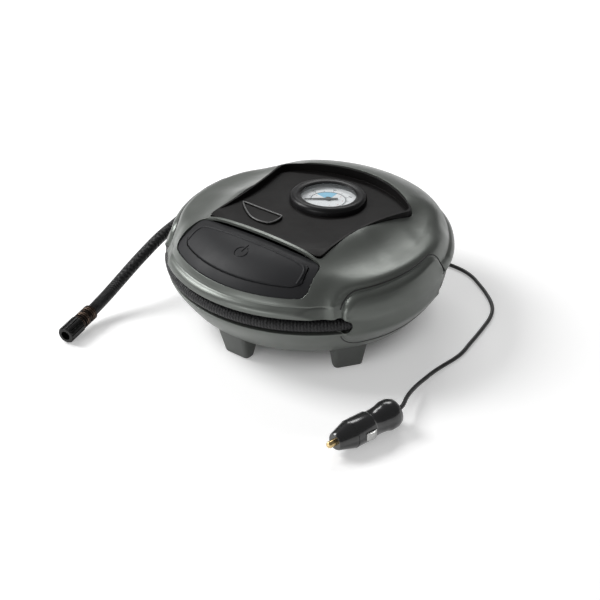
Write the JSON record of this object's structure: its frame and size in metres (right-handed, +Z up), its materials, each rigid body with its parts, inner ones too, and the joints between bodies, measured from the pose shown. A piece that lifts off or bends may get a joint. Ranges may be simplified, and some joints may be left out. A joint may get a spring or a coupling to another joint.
{
  "type": "portable tire inflator",
  "caption": "Round portable air pump for tires with a waist groove that stows its hose, a recessed dial gauge, a soft power pad, a knurled thumb nut and a vehicle plug on a lead.",
  "frame": {"origin": "on the floor under the middle of the round body", "axes": "+Z up, front with the power button at -Y, +X to the right across the side covers"},
  "size_m": [0.2843, 0.3358, 0.094],
  "materials": {
    "grey_shell": "satin",
    "dark_shell": "satin",
    "foot_rubber": "satin",
    "panel_black": "satin",
    "bezel_black": "satin",
    "lens": "satin",
    "dial_face": "satin",
    "needle_black": "satin",
    "brass": "satin",
    "brass_dark": "satin",
    "inner_plastic": "satin",
    "button_rubber": "satin",
    "steel": "satin",
    "alloy": "satin",
    "hose_rubber": "satin",
    "lead_jacket": "satin",
    "plug_black": "satin",
    "nut_black": "satin"
  },
  "bodies": {
    "housing": {"lower_shell": "dark_shell", "foot_pads": "foot_rubber", "upper_shell": "grey_shell", "shell_screws": "steel", "top_panel": "panel_black", "panel_tab": "panel_black", "gauge_bezel": "bezel_black", "gauge_lens": "lens", "gauge_dial": "dial_face", "gauge_movement": "brass", "gauge_socket": "inner_plastic", "button_frame": "button_rubber", "switch_body": "inner_plastic", "side_cover_right": "dark_shell", "side_cover_left": "dark_shell", "motor_can": "steel", "motor_cap": "inner_plastic", "pump_frame": "alloy", "crank_bush": "brass", "pump_cylinder": "alloy", "cylinder_head": "alloy", "head_screws": "steel", "vibration_mounts": "foot_rubber", "gauge_tube": "inner_plastic", "air_tube": "inner_plastic", "hose_root": "brass", "hose_wrap": "hose_rubber", "hose_free": "hose_rubber", "hose_ferrule": "brass_dark", "hose_nipple": "brass", "lead_gland": "button_rubber", "lead_inner": "lead_jacket", "lead_coil": "lead_jacket", "lead_outer": "lead_jacket", "plug_body": "plug_black", "plug_nose": "plug_black", "plug_fuse": "inner_plastic"},
    "needle": {"gauge_needle": "needle_black"},
    "button": {"power_button": "button_rubber"},
    "plunger": {"switch_plunger": "inner_plastic"},
    "rotor": {"motor_rotor": "steel"},
    "crank": {"crank_gear": "steel"},
    "rod": {"piston_rod": "alloy"},
    "piston": {"piston": "alloy"},
    "nut": {"thumb_nut": "nut_black"},
    "tip": {"plug_tip": "brass"},
    "contact_right": {"plug_contact_right": "steel"},
    "contact_left": {"plug_contact_left": "steel"}
  },
  "joints": [
    {"name": "needle_turn", "type": "hinge", "parent": "housing", "child": "needle", "pos_m": [0, 0.0204, 0.08642], "axis": [0, -0.0523, -0.9986], "range_deg": [0, 275]},
    {"name": "button_press", "type": "slide", "parent": "housing", "child": "button", "axis": [0, 0, -1], "range_m": [0, 0.0016], "stiffness_N_per_m": 2500, "springref_m": -0.0004},
    {"name": "plunger_press", "type": "slide", "parent": "housing", "child": "plunger", "axis": [0, 0, -1], "range_m": [0, 0.0016]},
    {"name": "rotor_spin", "type": "hinge", "parent": "housing", "child": "rotor", "pos_m": [0.0028, -0.032, 0.0466], "axis": [1, 0, 0], "continuous": true},
    {"name": "crank_spin", "type": "hinge", "parent": "housing", "child": "crank", "pos_m": [0.0028, -0.00548, 0.0466], "axis": [1, 0, 0], "continuous": true},
    {"name": "rod_pivot", "type": "hinge", "parent": "crank", "child": "rod", "pos_m": [-0.0037, -0.00548, 0.0511], "axis": [1, 0, 0], "continuous": true},
    {"name": "piston_stroke", "type": "slide", "parent": "housing", "child": "piston", "axis": [0, 1, 0], "range_m": [-0.0045, 0.0045]},
    {"name": "nut_spin", "type": "hinge", "parent": "housing", "child": "nut", "pos_m": [-0.1188, -0.1285, 0.0106], "axis": [0.1701, -0.9803, -0.1], "continuous": true},
    {"name": "tip_press", "type": "slide", "parent": "housing", "child": "tip", "axis": [0.1946, 0.9809, 0], "range_m": [0, 0.0025], "stiffness_N_per_m": 900},
    {"name": "contact_right_press", "type": "slide", "parent": "housing", "child": "contact_right", "axis": [0.9809, -0.1946, 0], "range_m": [0, 0.0012], "stiffness_N_per_m": 1500},
    {"name": "contact_left_press", "type": "slide", "parent": "housing", "child": "contact_left", "axis": [-0.9809, 0.1946, 0], "range_m": [0, 0.0012], "stiffness_N_per_m": 1500}
  ],
  "couplings": [
    {"joint": "plunger_press", "follows": "button_press", "ratio": 1},
    {"joint": "crank_spin", "follows": "rotor_spin", "ratio": -0.22222},
    {"joint": "rod_pivot", "follows": "rotor_spin", "ratio": 0.22222}
  ]
}
